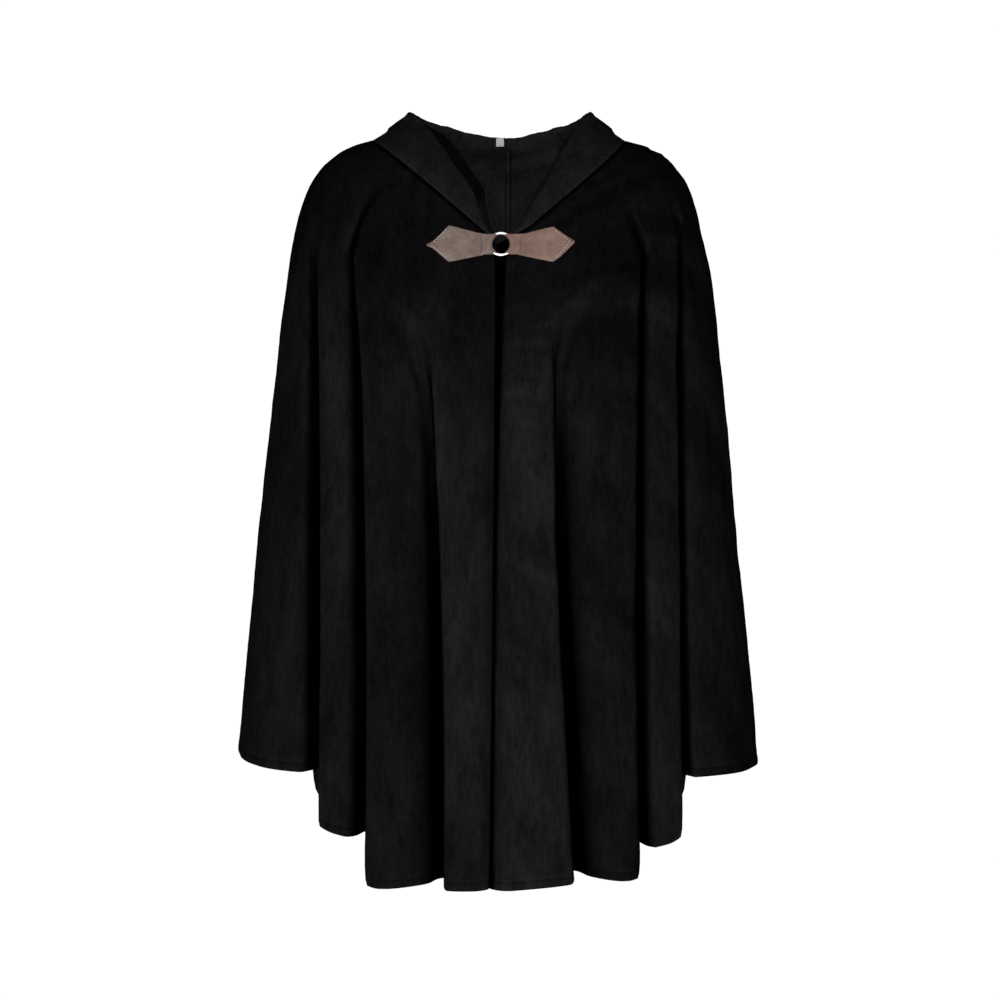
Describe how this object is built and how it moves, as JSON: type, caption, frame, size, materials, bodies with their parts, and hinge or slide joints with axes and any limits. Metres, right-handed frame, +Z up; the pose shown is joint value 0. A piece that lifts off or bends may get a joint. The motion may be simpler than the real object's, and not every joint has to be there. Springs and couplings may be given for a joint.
{
  "type": "hooded cape",
  "caption": "Short hooded wool cape, worn and open at the neck and hem, with deep hanging folds, the hood lying back and a leather and ring clasp at the throat.",
  "frame": {"origin": "middle of the neck opening, at the height where the cape rests on the wearer's shoulders", "axes": "+Z up, the front of the cape faces -Y, and the cape's length hangs along -Z"},
  "size_m": [0.5408, 0.4086, 0.7885],
  "materials": {
    "wool": "soft napped wool, near black",
    "leather": "matt, undyed edge",
    "steel": "polished",
    "label": "woven, bare"
  },
  "bodies": {
    "root": {"front_left": "wool", "back_left": "wool", "back_right": "wool", "front_right": "wool", "hood_left": "wool", "hood_right": "wool", "clasp_tab_left": "leather", "clasp_tab_right": "leather", "clasp_loop_left": "leather", "clasp_loop_right": "leather", "clasp_ring": "steel", "neck_label": "label"}
  },
  "joints": []
}
